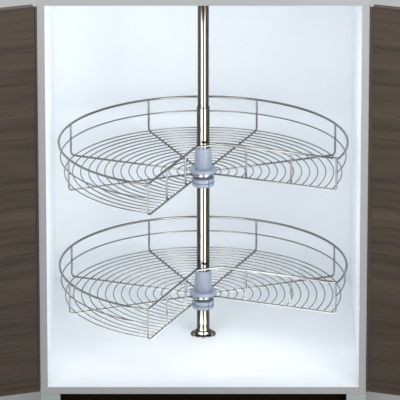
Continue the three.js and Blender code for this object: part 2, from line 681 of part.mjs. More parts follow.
// The same geometry with x turned to -x and its faces still outwards.
function mirror(geometry) {
  const flipped = geometry.index ? geometry.toNonIndexed() : geometry.clone();
  flipped.scale(-1, 1, 1);
  const position = flipped.attributes.position;
  const corner = (i) => new THREE.Vector3().fromBufferAttribute(position, i);
  for (let i = 0; i < position.count; i += 3) {
    const [second, third] = [corner(i + 1), corner(i + 2)];
    position.setXYZ(i + 1, ...third.toArray());
    position.setXYZ(i + 2, ...second.toArray());
  }
  return flipped;
}

// ---- The whole cabinet --------------------------------------------------------------------

addCarcass();
addBase();
addPole();
addTray("lower_tray", LOWER_TRAY_Z);
addTray("upper_tray", UPPER_TRAY_Z);
addDoor("left", -1);
addDoor("right", 1);

export default PARTS;
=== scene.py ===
import json
import math

import bmesh
import bpy
from mathutils import Matrix, Vector


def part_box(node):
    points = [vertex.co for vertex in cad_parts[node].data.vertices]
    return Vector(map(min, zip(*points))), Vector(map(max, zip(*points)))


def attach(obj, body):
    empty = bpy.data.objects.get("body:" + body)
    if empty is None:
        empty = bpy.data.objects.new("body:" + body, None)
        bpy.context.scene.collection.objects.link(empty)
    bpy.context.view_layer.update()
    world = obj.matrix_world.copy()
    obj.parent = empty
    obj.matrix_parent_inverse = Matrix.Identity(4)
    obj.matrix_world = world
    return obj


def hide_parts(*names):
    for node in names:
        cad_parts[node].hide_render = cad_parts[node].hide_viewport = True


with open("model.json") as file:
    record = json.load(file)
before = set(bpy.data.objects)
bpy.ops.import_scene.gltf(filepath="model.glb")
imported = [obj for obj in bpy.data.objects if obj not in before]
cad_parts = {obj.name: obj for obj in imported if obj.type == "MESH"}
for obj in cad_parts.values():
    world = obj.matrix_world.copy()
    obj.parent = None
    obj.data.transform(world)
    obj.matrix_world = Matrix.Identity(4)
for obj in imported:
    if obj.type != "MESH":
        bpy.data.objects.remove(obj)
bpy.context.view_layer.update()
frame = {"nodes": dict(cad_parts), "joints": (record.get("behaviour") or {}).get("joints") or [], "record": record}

# Corner carousel cabinet. Metres, +Z up, the open front faces -Y. Angles on a tray are counted from
# its back and grow to the right, and SECTOR is the angle between two of its ribs.

# ---- Sizes --------------------------------------------------------------------------------------

MM = 0.001
TINY = 1e-6

# Camera
CAMERA_DISTANCE = 14.0
CAMERA_LENS = 504.0
CAMERA_PITCH = math.radians(19.1)
AIM_X = -0.0080
AIM_Z = 0.4755
VIEW_REACH = 200

# Trays, as the CAD has them. A tail is the rim's straight end past its bend at a cut edge, as far as
# the middle of its joint with the rail. A wire sinks a little into the one that it is welded to. A
# weld nugget is half its size along the floor wire, along the rib and up.
TRAYS = ("lower_tray", "upper_tray")
TRAY_TURN = math.radians(22.7)
TRAY_RADIUS = 360 * MM
SECTOR = math.pi / 4
SECTOR_COUNT = 6
CUT_EDGE = SECTOR_COUNT * SECTOR / 2
RIM_WIRE = 6 * MM
RIB_WIRE = 5 * MM
MID_WIRE = 3.5 * MM
ARC_WIRE = 3 * MM
MID_HEIGHT = 45 * MM
FIRST_ARC = 45 * MM
LAST_ARC = 346 * MM
ARC_COUNT = 16
ARC_PITCH = (LAST_ARC - FIRST_ARC) / (ARC_COUNT - 1)
RIB_BEND = 10 * MM
CORNER_BEND = 8 * MM
CORNER_CENTRE = TRAY_RADIUS - CORNER_BEND
CORNER_ANGLE = math.asin(CORNER_BEND / CORNER_CENTRE)
RIM_TAIL = 4.15 * MM
RAIL_END = math.sqrt(CORNER_CENTRE ** 2 - CORNER_BEND ** 2) - RIM_TAIL
APEX_RADIUS = 52 * MM
APEX_BEND = 9 * MM
WELD_SINK = 0.4 * MM
NUGGET = (2.6 * MM, 2.0 * MM, 1.1 * MM)

# Hub, bearing and collar. A groove is its depth, half its mouth and half its floor. The points of the
# neck's shoulder are how far they lie inside the sleeve's foot and above the neck.
RING_BORE = 17.5 * MM
RING_EDGE = 1.2 * MM
HUB_BORE = 16.6 * MM
HUB_FLANGE = 9 * MM
HUB_FLANGE_FOOT = 1 * MM
HUB_FLANGE_EDGE = 2.6 * MM
SLEEVE_FOOT = 23 * MM
SLEEVE_TOP = 19.8 * MM
SLEEVE_LIP = 1.2 * MM
NECK_DEPTH = 2.4 * MM
NECK_HEIGHT = 2.6 * MM
NECK_SINK = 0.6 * MM
NECK_SHOULDER = ((0.6 * MM, 0.4 * MM), (0.2 * MM, 1.2 * MM))
MOUTH_TOP, MOUTH_FOOT, MOUTH_DEPTH = 18.1 * MM, 17.8 * MM, 1.6 * MM
BEARING_EDGE = 0.8 * MM
BEARING_GROOVE = (1.6 * MM, 1.2 * MM, 0.6 * MM)
COLLAR_BORE = 16.3 * MM
COLLAR_FOOT_EDGE = 2.4 * MM
COLLAR_TOP_EDGE = 1.2 * MM
COLLAR_GROOVE = (3.4 * MM, 1.5 * MM, 1.2 * MM)
COLLAR_SLOT = 1.3 * MM
COLLAR_SPLIT = math.radians(-62)

# Pole. A closed profile can't touch the axis, so a flange keeps a pinhole.
TUBE_WALL = 1.5 * MM
TUBE_LIP = 0.5 * MM
TUBE_LIP_STEPS = 3
FLANGE_CLEARANCE = 0.2 * MM
FLANGE_PLATE = 2.6 * MM
FLANGE_RIM, FLANGE_RIM_EDGE = 1.6 * MM, 1.4 * MM
FLANGE_FILLET = 3 * MM
FLANGE_SLOPE = 0.2 * MM
SOCKET_WALL = 3.5 * MM
SOCKET_EDGE = 1.5 * MM
FLANGE_PINHOLE = 0.01 * MM
FLANGE_SCREWS = 3

# Screws. The taper's rows are a share of the shank and a rise from the point. The dome's and the
# cross's are a share of the head and a depth below its top, and the cross's half an arm's width too.
BOLT_SHANK = 2.4 * MM
BOLT_TIP, BOLT_TIP_SHARE = 1 * MM, 0.6
BOLT_HEAD = 4 * MM
BOLT_HEAD_EDGE = 0.6 * MM
HEX_TOP, HEX_FOOT, HEX_DEPTH = 2.1 * MM, 2.0 * MM, 2 * MM
SCREW_SHANK = 1.7 * MM
SCREW_POINT = 0.2 * MM
SCREW_HEAD = 1.8 * MM
SCREW_TAPER = ((0.8, 3 * MM), (1, 5 * MM))
SCREW_DOME = ((1, 1.3 * MM), (0.9, 0.7 * MM), (0.72, 0.25 * MM), (0.62, 0.1 * MM))
CROSS_TOP = (0.55, 0.05 * MM, 0.45 * MM)
CROSS_FOOT = (0.4, 1.2 * MM, 0.35 * MM)

# Boards
BOARD_BEVEL = 0.6 * MM
BAND_BEVEL = 0.4 * MM
FOOT_BEVEL = 2 * MM

# Doors, each in its own frame: x from the pin along the door's width, and y into the cabinet when the
# door is closed
DOOR_OPEN = math.radians(160)
DOOR_START, DOOR_END = 3 * MM, 401.5 * MM
DOOR_OUTER, DOOR_INNER = -19.5 * MM, -1.5 * MM
DOOR_BAND = 0.9 * MM
DOOR_CORE_BEVEL = 0.3 * MM
DOOR_BAND_BEVEL = 0.25 * MM
KNOB_INSET = 40 * MM
KNOB_DROP = 240 * MM
PAD_INSET = 8 * MM
SEAT_GAP = 0.3 * MM

# Veneer: its middle colour, how dark and pale its grain goes, the wave that bends the grain, and the
# two noises that the grain is mixed from
WOOD_COLOUR = (0.065, 0.049, 0.037)
WOOD_GRAIN = ((0.33, 0.55), (0.46, 0.9), (0.56, 1.1), (0.70, 1.5))
WOOD_WAVE = {"scale": 3, "reach": (0, 0, 0.05)}
WOOD_BANDS = {"scale": 24, "detail": 5, "roughness": 0.6, "stretch": (0.10, 1, 2.4)}
WOOD_FIBRES = {"scale": 70, "detail": 5, "roughness": 0.62, "stretch": (0.06, 1, 3.0)}
FIBRE_SHARE = 0.4
WOOD_SHINE = 0.15
WOOD_ROUGHNESS = (0.62, 0.5)
WOOD_BUMP = {"strength": 0.12, "depth": 0.12 * MM}

# Skins of the boards and plastics: a slow cloud in the colour, with its shades as places on a ramp and
# shares of the colour, and a fine grit that changes the roughness and raises the surface
BOARD_SKIN = {
    "cloud": {"scale": 6, "detail": 4},
    "shades": ((0.3, 0.985), (0.7, 1.01)),
    "roughness": (-0.05, 0.08),
    "bump": {"strength": 0.06, "depth": 0.05 * MM},
}
PLASTIC_SKIN = {
    "cloud": {"scale": 120, "detail": 3},
    "shades": ((0.3, 0.96), (0.7, 1.03)),
    "roughness": (-0.05, 0.1),
    "bump": {"strength": 0.05, "depth": 0.03 * MM},
}
PLASTIC_GRIT = 1500
GRIT_DETAIL = 2

# Metal: drawing marks in the colour and the surface, and a slow cloud in the roughness, between two
# shares of it
METAL_MARKS = {"scale": 400, "detail": 3}
METAL_SHADES = ((0.35, 0.94), (0.65, 1.05))
METAL_CLOUD = {"scale": 30, "detail": 3}
METAL_ROUGHNESS = (0.7, 1.4)
METAL_BUMP = {"strength": 0.04, "depth": 0.02 * MM}

# Smoothness. An edge stays sharp where its faces turn by more than the sharp angle, and a wire that
# starts steeper than STEEP has another guide for its sides.
ROUND_SIDES = 64
FITTING_SIDES = 32
BOLT_SIDES = 24
RIM_SIDES, WIRE_SIDES, ARC_SIDES = 16, 12, 10
NUGGET_SIDES, NUGGET_STEPS = 8, 6
ARC_STEP = math.radians(2.5)
BEND_STEPS = 8
EDGE_STEPS = 6
STEEP = 0.9
WIRE_END_ANGLES = [math.radians(a) for a in (80, 50, 25)]
WIRE_END_SHARE = 0.5
SHARP, SHARP_FITTING, SHARP_SCREW = (math.radians(a) for a in (40, 50, 30))

# Stage. The floor lies just under the soles.
FLOOR_HALF = 40
FLOOR_DROP = 0.5 * MM

# Light. A lamp is its place, its aim, its size and its power. The fill stands in the cabinet's opening
# and lights all but the hubs. The strips, their feet and the low lamp light plated metal alone, but
# the weaker of each strip's two lamps also lights the hubs. A strip is two bearings from the pole in
# degrees, and its feet are reaches from the pole.
WORLD_COLOUR = (0.92, 0.95, 1.0, 1)
WORLD_LEVEL = 0.45
LAMPS = {
    "far": ((-3.0, -6.0, 2.5), (0, 0, 0.5), (2, 2), 54),
    "left": ((-0.45, -1.0, 1.7), (-0.45, -0.2, 0.6), (0.5, 0.3), 5),
    "right": ((0.64, -1.2, 1.2), (0.64, -0.3, 0.6), (0.5, 0.4), 3.9),
    "right_side": ((2.6, -3.6, 1.3), (0.4, -0.3, 0.6), (1.6, 1.6), 62),
    "rear_left": ((-3.8, 4.4, 2.2), (0, 0.3, 0.6), (3, 3), 80),
    "rear_right": ((3.8, 4.4, 2.2), (0, 0.3, 0.6), (3, 3), 80),
}
FILL_Y = -0.36
FILL_SIZE = (0.52, 0.78)
FILL_LIFT = 0.07
FILL_POWER = 2.0
FILL_COLOUR = (0.95, 0.98, 1.0)
STRIP_Y = -0.8
STRIP_HEIGHT = 0.85
STRIPS = {"strip_left": (-50, -8), "strip_right": (16, 50)}
STRIP_GLOW = 22
STRIP_COLOUR = (0.60, 0.71, 1.0)
STRIP_FEET = ((30 * MM, 95 * MM), (95 * MM, 220 * MM))
WIRE_GLOW = 4.6
WIRE_COLOUR = (0.92, 0.96, 1.0)
LOW_Y = -0.05
LOW_SIZE = (0.72, 0.62)
LOW_GLOW = 3.2
LAMP_LIFT = 1 * MM


# ---- Shapes -------------------------------------------------------------------------------------

class Shape:
    """Points and faces of one piece, gathered from closed shells."""

    def __init__(self):
        self.points = []
        self.faces = []

    def loft(self, rings):
        """A skin over rings of equal count, with a face over the first ring and the last."""
        start = len(self.points)
        count = len(rings[0])
        for ring in rings:
            self.points += [tuple(p) for p in ring]
        for r in range(len(rings) - 1):
            a, b = start + r * count, start + (r + 1) * count
            for i in range(count):
                j = (i + 1) % count
                self.faces.append((a + i, a + j, b + j, b + i))
        end = start + (len(rings) - 1) * count
        self.faces.append(tuple(start + i for i in reversed(range(count))))
        self.faces.append(tuple(end + i for i in range(count)))
        return self

    def tube(self, path, radius, sides=WIRE_SIDES):
        """A round wire along a path, with rounded ends."""
        tangents, normals = path_frames(path)
        last = len(path) - 1
        angles = turn_angles(sides)

        def ring(i, along, size):
            side = tangents[i].cross(normals[i])
            centre = path[i] + tangents[i] * along
            return [centre + (normals[i] * math.cos(a) + side * math.sin(a)) * size for a in angles]

        def end_ring(i, way, a):
            return ring(i, way * radius * math.sin(a) * WIRE_END_SHARE, radius * math.cos(a))

        rings = [end_ring(0, -1, a) for a in WIRE_END_ANGLES]
        rings += [ring(i, 0, radius) for i in range(last + 1)]
        rings += [end_ring(last, 1, a) for a in reversed(WIRE_END_ANGLES)]
        return self.loft(rings)

    def turned(self, profile):
        """A closed profile of (radius, height) turned about z."""
        start = len(self.points)
        count = len(profile)
        for a in turn_angles(ROUND_SIDES):
            self.points += [(r * math.cos(a), r * math.sin(a), z) for r, z in profile]
        for k in range(ROUND_SIDES):
            a, b = start + k * count, start + (k + 1) % ROUND_SIDES * count
            for i in range(count):
                j = (i + 1) % count
                self.faces.append((a + i, b + i, b + j, a + j))
        return self

    def split(self, profile, middle, gap):
        """A closed profile turned about z, cut open at one angle by a narrow gap. Angles in radians."""
        rings = []
        for a in steps(middle + gap / 2, middle + 2 * math.pi - gap / 2, ROUND_SIDES):
            rings.append([(r * math.cos(a), r * math.sin(a), z) for r, z in profile])
        return self.loft(rings)

    def spun(self, profile, place, sides=FITTING_SIDES):
        """An open profile turned about the matrix's z and closed at both ends. Its rows are a radius,
        or a function that gives it for an angle, and a height."""
        rings = []
        for radius, height in profile:
            ring = []
            for a in turn_angles(sides):
                r = radius(a) if callable(radius) else radius
                ring.append(place @ Vector((r * math.cos(a), r * math.sin(a), height)))
            rings.append(ring)
        return self.loft(rings)

    def blob(self, place, size):
        """A small ellipsoid of three half sizes, at a place given by a matrix."""
        rings = []
        for a in steps(0, math.pi, NUGGET_STEPS)[1:-1]:
            x, y, z = size[0] * math.sin(a), size[1] * math.sin(a), -size[2] * math.cos(a)
            turns = turn_angles(NUGGET_SIDES)
            rings.append([place @ Vector((x * math.cos(t), y * math.sin(t), z)) for t in turns])
        return self.loft(rings)


def steps(start, end, count):
    """Even steps from start to end, both among them."""
    return [start + (end - start) * i / count for i in range(count + 1)]


def turn_angles(sides):
    return [2 * math.pi * k / sides for k in range(sides)]


def path_frames(path):
    """Unit tangents along a path, and normals that don't twist about it."""
    last = len(path) - 1
    tangents = []
    for i in range(last + 1):
        before = (path[i] - path[i - 1]).normalized() if i else Vector()
        after = (path[i + 1] - path[i]).normalized() if i < last else Vector()
        tangents.append((before + after).normalized())
    upright = Vector((0, 0, 1)) if abs(tangents[0].z) < STEEP else Vector((1, 0, 0))
    normal = (upright - tangents[0] * upright.dot(tangents[0])).normalized()
    normals = [normal]
    for tangent in tangents[1:]:
        normal = (normal - tangent * normal.dot(tangent)).normalized()
        normals.append(normal)
    return tangents, normals


def bend(before, corner, after, radius):
    """Points of the arc of a given radius that rounds a corner."""
    back = (before - corner).normalized()
    on = (after - corner).normalized()
    half = back.angle(on) / 2
    centre = corner + (back + on).normalized() * (radius / math.sin(half))
    start = corner + back * (radius / math.tan(half)) - centre
    end = corner + on * (radius / math.tan(half)) - centre
    axis = start.cross(end).normalized()
    turns = steps(0, start.angle(end), BEND_STEPS)
    return [centre + Matrix.Rotation(a, 3, axis) @ start for a in turns]


def rounded(corner, radius, from_angle, to_angle, count=EDGE_STEPS):
    """Profile points of a quarter round about a corner's centre, angles in degrees."""
    angles = [math.radians(a) for a in steps(from_angle, to_angle, count)]
    return [(corner[0] + radius * math.cos(a), corner[1] + radius * math.sin(a)) for a in angles]


def groove(outer, waist, depth, mouth, floor):
    """Profile points of a groove round a turned piece, its mouth and floor by half their widths."""
    inner = outer - depth
    return [(outer, waist - mouth), (inner, waist - floor), (inner, waist + floor), (outer, waist + mouth)]


def hexagon(radius):
    """The reach of a hexagon at each angle, from the radius to its flats."""
    side = math.pi / 3

    def reach(a):
        return radius / math.cos((a + side / 2) % side - side / 2)

    return reach


def cross(radius, half_arm):
    """The reach of a cross with round ends at each angle, from its radius and half an arm's width."""
    quarter = math.pi / 2

    def reach(a):
        fold = abs((a + quarter / 2) % quarter - quarter / 2)
        return min(radius, half_arm / max(math.sin(fold), TINY))

    return reach


def turned_box(node):
    """The outer radius, foot and top of a node that is round about z."""
    low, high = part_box(node)
    return (high.x - low.x) / 2, low.z, high.z


# ---- Pieces -------------------------------------------------------------------------------------

# Collections that the lamps name: what they light, and what the fill leaves out
BRIGHT_METAL = bpy.data.collections.new("bright_metal")
WIRES = bpy.data.collections.new("wires")
WIRES_AND_HUBS = bpy.data.collections.new("wires_and_hubs")
NO_FILL = bpy.data.collections.new("no_fill")

CAD_SLOTS = {p["node"]: p["material_slot"] for p in frame["record"]["subparts"]}


def new_object(name, data):
    made = bpy.data.objects.new(name, data)
    bpy.context.scene.collection.objects.link(made)
    return made


def smooth_object(name, mesh, work):
    """An object whose mesh is taken from a bmesh and shaded smooth."""
    work.to_mesh(mesh)
    work.free()
    mesh.polygons.foreach_set("use_smooth", [True] * len(mesh.polygons))
    return new_object(name, mesh)


def link_to_lamps(piece, material):
    """Puts a piece in the collections of its own lamps, and keeps the fill off the hubs."""
    if material in (RING_CHROME, NICKEL):
        BRIGHT_METAL.objects.link(piece)
    if material in (CHROME, HUB_PLASTIC):
        WIRES_AND_HUBS.objects.link(piece)
    if material == CHROME:
        WIRES.objects.link(piece)
    if material == HUB_PLASTIC:
        NO_FILL.objects.link(piece)
        NO_FILL.collection_objects[-1].light_linking.link_state = "EXCLUDE"


def finish_piece(piece, material, body, replaced):
    link_to_lamps(piece, material)
    piece.data.materials.clear()
    piece.data.materials.append(material)
    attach(piece, body)
    if replaced:
        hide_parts(*replaced)


def make_piece(name, shape, material, body, replaced=(), sharp=SHARP):
    """One piece from a shape, with faces outwards and smooth up to the sharp angle."""
    mesh = bpy.data.meshes.new(name)
    mesh.from_pydata(shape.points, [], shape.faces)
    work = bmesh.new()
    work.from_mesh(mesh)
    bmesh.ops.recalc_face_normals(work, faces=work.faces)
    piece = smooth_object(name, mesh, work)
    mesh.set_sharp_from_angle(angle=sharp)
    finish_piece(piece, material, body, replaced)


def make_board(name, low, high, bevel, material, body, slot, replaced=(), place=None):
    """A board between two corners with its edges eased. It is built about its own centre."""
    work = bmesh.new()
    bmesh.ops.create_cube(work, size=1)
    bmesh.ops.scale(work, vec=Vector(high) - Vector(low), verts=work.verts)
    bmesh.ops.bevel(work, geom=work.edges[:], offset=bevel, segments=2, profile=0.5, affect="EDGES")
    piece = smooth_object(name, bpy.data.meshes.new(name), work)
    centre = Matrix.Translation((Vector(low) + Vector(high)) / 2)
    piece.matrix_world = (place or Matrix.Identity(4)) @ centre
    weighted = piece.modifiers.new("weighted_normals", "WEIGHTED_NORMAL")
    weighted.keep_sharp = True
    finish_piece(piece, material, body, replaced)


# ---- Materials ----------------------------------------------------------------------------------

class Paint:
    """A node material under construction."""

    def __init__(self, name):
        self.material = bpy.data.materials.new(name)
        self.material.use_nodes = True
        self.nodes = self.material.node_tree.nodes
        self.links = self.material.node_tree.links
        self.shader = self.nodes["Principled BSDF"]

    def set(self, **values):
        for name, value in values.items():
            self.shader.inputs[name.replace("_", " ")].default_value = value

    def add(self, kind, **values):
        node = self.nodes.new(kind)
        for name, value in values.items():
            if hasattr(node, name):
                setattr(node, name, value)
            else:
                node.inputs[name.replace("_", " ")].default_value = value
        return node

    def link(self, output, target):
        self.links.new(output, target)

    def warp(self, scale, reach):
        """The piece's own coordinates, pushed about by a slow noise as far as reach, in metres."""
        where = self.add("ShaderNodeTexCoord").outputs["Object"]
        texture = self.add("ShaderNodeTexNoise", Scale=scale, Detail=1.0)
        self.link(where, texture.inputs["Vector"])
        push = self.add("ShaderNodeVectorMath", operation="MULTIPLY_ADD")
        push.inputs[1].default_value = reach
        self.link(texture.outputs["Color"], push.inputs[0])
        self.link(where, push.inputs[2])
        return push.outputs["Vector"]

    def noise(self, scale, detail, roughness=0.5, stretch=(1, 1, 1), where=None):
        """Noise over the piece's own coordinates. The scale is in features a metre."""
        where = where or self.add("ShaderNodeTexCoord").outputs["Object"]
        mapping = self.add("ShaderNodeMapping", Scale=stretch)
        texture = self.add("ShaderNodeTexNoise", Scale=scale, Detail=detail, Roughness=roughness)
        self.link(where, mapping.inputs["Vector"])
        self.link(mapping.outputs["Vector"], texture.inputs["Vector"])
        return texture.outputs["Fac"]

    def ramp(self, factor, stops):
        node = self.add("ShaderNodeValToRGB")
        elements = node.color_ramp.elements
        while len(elements) < len(stops):
            elements.new(0.5)
        for element, (position, colour) in zip(elements, stops):
            element.position = position
            element.color = (*colour, 1)
        self.link(factor, node.inputs["Fac"])
        return node.outputs["Color"]

    def spread(self, factor, low, high):
        node = self.add("ShaderNodeMapRange", To_Min=low, To_Max=high)
        self.link(factor, node.inputs["Value"])
        return node.outputs["Result"]

    def colour(self, output):
        self.link(output, self.shader.inputs["Base Color"])

    def roughness(self, output):
        self.link(output, self.shader.inputs["Roughness"])

    def bump(self, height, strength, depth):
        node = self.add("ShaderNodeBump", Strength=strength, Distance=depth)
        self.link(height, node.inputs["Height"])
        self.link(node.outputs["Normal"], self.shader.inputs["Normal"])


def tones(colour, shades):
    """The stops of a ramp between shades of a colour."""
    return [(place, tuple(min(c * share, 1) for c in colour)) for place, share in shades]


def skin_material(name, colour, roughness, grit, skin, specular):
    """A faint cloud in the colour, and a fine grit in the roughness and the surface."""
    paint = Paint(name)
    paint.set(Specular_IOR_Level=specular)
    paint.colour(paint.ramp(paint.noise(**skin["cloud"]), tones(colour, skin["shades"])))
    grain = paint.noise(grit, GRIT_DETAIL)
    paint.roughness(paint.spread(grain, *(roughness + change for change in skin["roughness"])))
    paint.bump(grain, **skin["bump"])
    return paint.material


def board_material(name, colour, roughness, grit, specular=0.3):
    """Faced board."""
    return skin_material(name, colour, roughness, grit, BOARD_SKIN, specular)


def plastic_material(name, colour, roughness, specular=0.3):
    """Moulded plastic, rubber or lacquered metal."""
    return skin_material(name, colour, roughness, PLASTIC_GRIT, PLASTIC_SKIN, specular)


def metal_material(name, colour, roughness, stretch=(1, 1, 1)):
    """Plated or plain metal with faint drawing marks."""
    paint = Paint(name)
    paint.set(Metallic=1.0)
    marks = paint.noise(stretch=stretch, **METAL_MARKS)
    paint.colour(paint.ramp(marks, tones(colour, METAL_SHADES)))
    cloud = paint.noise(**METAL_CLOUD)
    paint.roughness(paint.spread(cloud, *(roughness * share for share in METAL_ROUGHNESS)))
    paint.bump(marks, **METAL_BUMP)
    return paint.material


def wood_material():
    """Dark grey-brown veneer. The grain runs along the piece's own x axis."""
    paint = Paint("wood_dark")
    paint.set(Specular_IOR_Level=WOOD_SHINE)
    wave = paint.warp(**WOOD_WAVE)
    bands = paint.noise(where=wave, **WOOD_BANDS)
    fibres = paint.noise(where=wave, **WOOD_FIBRES)
    blend = paint.add("ShaderNodeMix", data_type="FLOAT")
    blend.inputs["Factor"].default_value = FIBRE_SHARE
    paint.link(bands, blend.inputs["A"])
    paint.link(fibres, blend.inputs["B"])
    paint.colour(paint.ramp(blend.outputs["Result"], tones(WOOD_COLOUR, WOOD_GRAIN)))
    paint.roughness(paint.spread(fibres, *WOOD_ROUGHNESS))
    paint.bump(fibres, **WOOD_BUMP)
    return paint.material


WHITE_BOARD = board_material("board_white", (0.90, 0.93, 0.96), 0.42, 1400)
GREY_EDGE = board_material("edge_grey", (0.355, 0.36, 0.365), 0.45, 900)
# The recess board's near-black colour is partly the board's own dark finish and partly painted shade of the recess
# under the cabinet
DARK_BOARD_AND_PAINTED_SHADE = board_material("board_dark_and_painted_shade", (0.008, 0.005, 0.002), 0.9, 700, 0.05)
FOOT_GREY = plastic_material("foot_grey", (0.34, 0.385, 0.375), 0.5)
DOOR_EDGE = board_material("edge_door", (0.13, 0.115, 0.09), 0.5, 900)
WOOD = wood_material()
CHROME = metal_material("wire_chrome", (0.215, 0.213, 0.2), 0.14)
RING_CHROME = metal_material("ring_chrome", (0.24, 0.238, 0.225), 0.14)
NICKEL = metal_material("pole_nickel", (0.095, 0.079, 0.054), 0.1, stretch=(1, 1, 0.04))
STEEL = metal_material("steel_plain", (0.42, 0.42, 0.41), 0.3)
DARK_STEEL = plastic_material("steel_brown", (0.066, 0.053, 0.041), 0.5)
HUB_PLASTIC = plastic_material("plastic_hub", (0.335, 0.385, 0.485), 0.36, 0.6)
BEARING_PLASTIC = plastic_material("plastic_bearing", (0.10, 0.105, 0.11), 0.45)
RUBBER = plastic_material("rubber_dark", (0.04, 0.04, 0.04), 0.8)


# ---- Trays --------------------------------------------------------------------------------------

def around(radius, angle, z=0.0):
    return Vector((radius * math.sin(angle), radius * math.cos(angle), z))


def tray_axis(tray):
    """The matrix from a tray's own frame to the cabinet's, with z = 0 at the centre of its ribs."""
    low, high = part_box(tray + "_hub_ring")
    return Matrix.Translation((0, 0, (low.z + high.z) / 2)) @ Matrix.Rotation(TRAY_TURN, 4, "Z")


def rim_height(tray):
    low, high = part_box(tray + "_rim")
    return (low.z + high.z) / 2 - tray_axis(tray).translation.z


def arc_path(radius, start, end, z):
    count = max(2, math.ceil(abs(end - start) / ARC_STEP))
    return [around(radius, a, z) for a in steps(start, end, count)]


def placed(matrix, path):
    return [matrix @ p for p in path]


def rib_angles():
    return steps(-CUT_EDGE, CUT_EDGE, SECTOR_COUNT)


def rib_radius(angle):
    """Cut-edge ribs turn up under the rim's bent corners, a little further in than the others."""
    at_cut = abs(angle) > CUT_EDGE - SECTOR / 2
    return TRAY_RADIUS - CORNER_BEND / 2 if at_cut else TRAY_RADIUS


def make_wires(tray, name, shape, *nodes):
    """A chromed piece of a tray, and the tray's nodes that it stands in for."""
    replaced = [f"{tray}_{node}" for node in nodes]
    make_piece(f"{tray}_{name}", shape, CHROME, tray, replaced)


def rim_corner(side, height):
    """The rim's bend at a cut edge and its straight tail."""
    middle = around(CORNER_CENTRE, side * (CUT_EDGE - CORNER_ANGLE), height)
    first = around(CORNER_BEND, side * (CUT_EDGE - CORNER_ANGLE))
    turn = side * (math.pi / 2 + CORNER_ANGLE)
    bent = [middle + Matrix.Rotation(-a, 3, "Z") @ first for a in steps(0, turn, BEND_STEPS)]
    return [*bent, around(RAIL_END, side * CUT_EDGE, height)]


def make_rim(tray, axis, height):
    """The tray's upper ring, bent inwards at both cut edges."""
    ring = arc_path(TRAY_RADIUS, -CUT_EDGE + CORNER_ANGLE, CUT_EDGE - CORNER_ANGLE, height)[1:-1]
    path = [*reversed(rim_corner(-1, height)), *ring, *rim_corner(1, height)]
    make_wires(tray, "rim_wire", Shape().tube(placed(axis, path), RIM_WIRE / 2, RIM_SIDES), "rim")


def make_rail(tray, axis, height):
    """The rim's wire goes on along both cut edges and bends round in front of the hub."""
    left, right = (around(RAIL_END, angle, height) for angle in (-CUT_EDGE, CUT_EDGE))
    left_apex, right_apex = (around(APEX_RADIUS, angle, height) for angle in (-CUT_EDGE, CUT_EDGE))
    bends = bend(left, left_apex, right_apex, APEX_BEND) + bend(left_apex, right_apex, right, APEX_BEND)
    rail = Shape().tube(placed(axis, [left, *bends, right]), RIM_WIRE / 2, RIM_SIDES)
    make_wires(tray, "rail_wire", rail, "front_rail")


def make_rail_uprights(tray, axis, height):
    """Two on each cut edge, midway between the floor wires about one and two thirds of the way out."""
    uprights = Shape()
    for third in (1, 2):
        inside = math.floor((TRAY_RADIUS * third / 3 - FIRST_ARC) / ARC_PITCH)
        radius = FIRST_ARC + (inside + 0.5) * ARC_PITCH
        for angle in (-CUT_EDGE, CUT_EDGE):
            foot = around(radius, angle, RIB_WIRE / 2 - WELD_SINK)
            head = around(radius, angle, height - RIM_WIRE / 2)
            uprights.tube(placed(axis, [foot, head]), RIB_WIRE / 2)
    make_wires(tray, "rail_uprights", uprights)


def make_middle_wire(tray, axis):
    """The ring half way up, welded inside the ribs."""
    radius = TRAY_RADIUS - RIB_WIRE / 2 - MID_WIRE / 2 + WELD_SINK
    end = CUT_EDGE - RIB_WIRE / 2 / radius
    path = arc_path(radius, -end, end, MID_HEIGHT)
    make_wires(tray, "middle_wire", Shape().tube(placed(axis, path), MID_WIRE / 2), "middle_ring")


def make_ribs(tray, axis, height):
    """Ribs run out from the hub's ring and turn up to the rim."""
    ring_radius = turned_box(tray + "_hub_ring")[0]
    ribs = Shape()
    for angle in rib_angles():
        radius = rib_radius(angle)
        start, turn = around(ring_radius - WELD_SINK, angle), around(radius, angle)
        top = around(radius, angle, height - RIM_WIRE / 2)
        path = [start, *bend(start, turn, top, RIB_BEND), top]
        ribs.tube(placed(axis, path), RIB_WIRE / 2)
    make_wires(tray, "ribs", ribs, "floor")


def make_floor_wires(tray, axis):
    """Curved wires over the ribs, with a weld nugget at each crossing."""
    wires = Shape()
    nuggets = Shape()
    wire_z = RIB_WIRE / 2 + ARC_WIRE / 2 - WELD_SINK
    nugget_z = RIB_WIRE / 2 - WELD_SINK / 2
    for radius in steps(FIRST_ARC, LAST_ARC, ARC_COUNT - 1):
        end = CUT_EDGE + RIB_WIRE / 2 / radius
        wires.tube(placed(axis, arc_path(radius, -end, end, wire_z)), ARC_WIRE / 2, ARC_SIDES)
        for angle in rib_angles():
            place = axis @ Matrix.Translation(around(radius, angle, nugget_z))
            nuggets.blob(place @ Matrix.Rotation(-angle, 4, "Z"), NUGGET)
    make_wires(tray, "floor_wires", wires)
    make_wires(tray, "weld_nuggets", nuggets)


def make_weld_ring(tray):
    """The steel ring that the ribs are welded to."""
    outer, foot, top = turned_box(tray + "_hub_ring")
    profile = [(RING_BORE, foot), *rounded((outer - RING_EDGE, foot + RING_EDGE), RING_EDGE, -90, 0)]
    profile += [*rounded((outer - RING_EDGE, top - RING_EDGE), RING_EDGE, 0, 90), (RING_BORE, top)]
    ring = Shape().turned(profile)
    make_piece(tray + "_weld_ring", ring, RING_CHROME, tray, [tray + "_hub_ring"])


